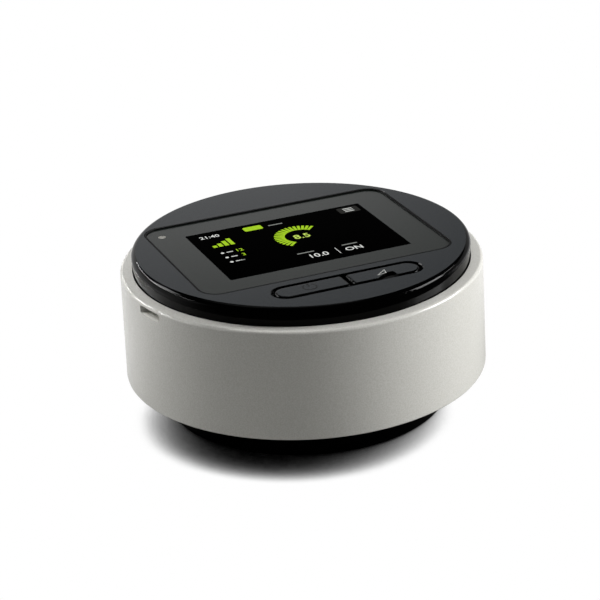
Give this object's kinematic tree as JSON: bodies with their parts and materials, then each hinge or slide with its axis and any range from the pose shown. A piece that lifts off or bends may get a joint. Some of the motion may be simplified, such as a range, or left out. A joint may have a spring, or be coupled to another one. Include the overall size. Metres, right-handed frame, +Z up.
{
  "type": "cpap machine",
  "caption": "Round tabletop breathing-therapy (CPAP) unit: white drum body, black base and lid with colour display, two push buttons, rear air outlet and filter cover.",
  "frame": {"origin": "centre of the rubber pad's face that the unit stands on", "axes": "+Z up; the user stands at -Y and reads the display along +Y; the air outlet leaves along +Y"},
  "size_m": [0.1432, 0.1601, 0.0661],
  "materials": {
    "white_shell": "gloss moulded ABS",
    "lid_black": "gloss sides with a satin grey face",
    "panel_satin": "fine-grained satin",
    "display_glass": "polished black",
    "base_black": "fine spark texture",
    "pad_rubber": "matt",
    "silicone": "translucent matt",
    "port_plastic": "semi-gloss",
    "inner_plastic": "matt moulded",
    "impeller_plastic": "smooth",
    "circuit_board": "solder resist",
    "component_black": "moulded epoxy",
    "flex_film": "polyimide film",
    "steel": "zinc plated",
    "magnet": "nickel plated",
    "brass_pin": "polished",
    "foam": "open-cell foam",
    "filter_fibre": "felted fibre"
  },
  "bodies": {
    "casing": {"base_pad": "pad_rubber", "base_housing": "base_black", "case_screws": "steel", "outer_shell": "white_shell", "top_cover": "lid_black", "display_panel": "panel_satin", "display_window": "display_glass", "light_sensor_lens": "display_glass", "lcd_module": "steel", "display_bracket": "inner_plastic", "bracket_screws": "steel", "display_flex": "flex_film", "main_board": "circuit_board", "board_components": "component_black", "board_screws": "steel", "card_socket": "steel", "buzzer": "component_black", "power_dome": "silicone", "ramp_dome": "silicone", "button_board": "circuit_board", "button_board_screws": "steel", "inner_chassis": "inner_plastic", "chassis_screws": "steel", "intake_foam": "foam", "blower_lower": "inner_plastic", "blower_upper": "inner_plastic", "blower_mounts": "silicone", "bearing_lower": "steel", "bearing_upper": "steel", "motor_stator": "steel", "motor_cap": "inner_plastic", "outlet_port": "port_plastic", "outlet_gasket": "silicone", "outlet_coupling": "silicone", "flow_sensor": "component_black", "intake_duct": "inner_plastic", "power_board": "circuit_board", "power_board_screws": "steel", "power_components": "component_black", "dc_inlet": "component_black", "dc_pin": "brass_pin"},
    "power_button": {"power_button": "lid_black"},
    "ramp_button": {"ramp_button": "lid_black"},
    "rotor": {"impeller": "impeller_plastic", "motor_shaft": "steel", "rotor_magnet": "magnet"},
    "filter": {"filter_cover": "white_shell", "air_filter": "filter_fibre"}
  },
  "joints": [
    {"name": "power_press", "type": "slide", "parent": "casing", "child": "power_button", "axis": [0, 0, -1], "range_m": [0, 0.0008], "stiffness_N_per_m": 900, "springref_m": -0.0004, "deforming": ["power_dome"]},
    {"name": "ramp_press", "type": "slide", "parent": "casing", "child": "ramp_button", "axis": [0, 0, -1], "range_m": [0, 0.0008], "stiffness_N_per_m": 900, "springref_m": -0.0004, "deforming": ["ramp_dome"]},
    {"name": "impeller_spin", "type": "hinge", "parent": "casing", "child": "rotor", "pos_m": [-0.027, -0.008, 0.03], "axis": [0, 0, 1], "continuous": true},
    {"name": "filter_pull", "type": "slide", "parent": "casing", "child": "filter", "axis": [0.6691, 0.7431, 0], "range_m": [0, 0.03]}
  ]
}
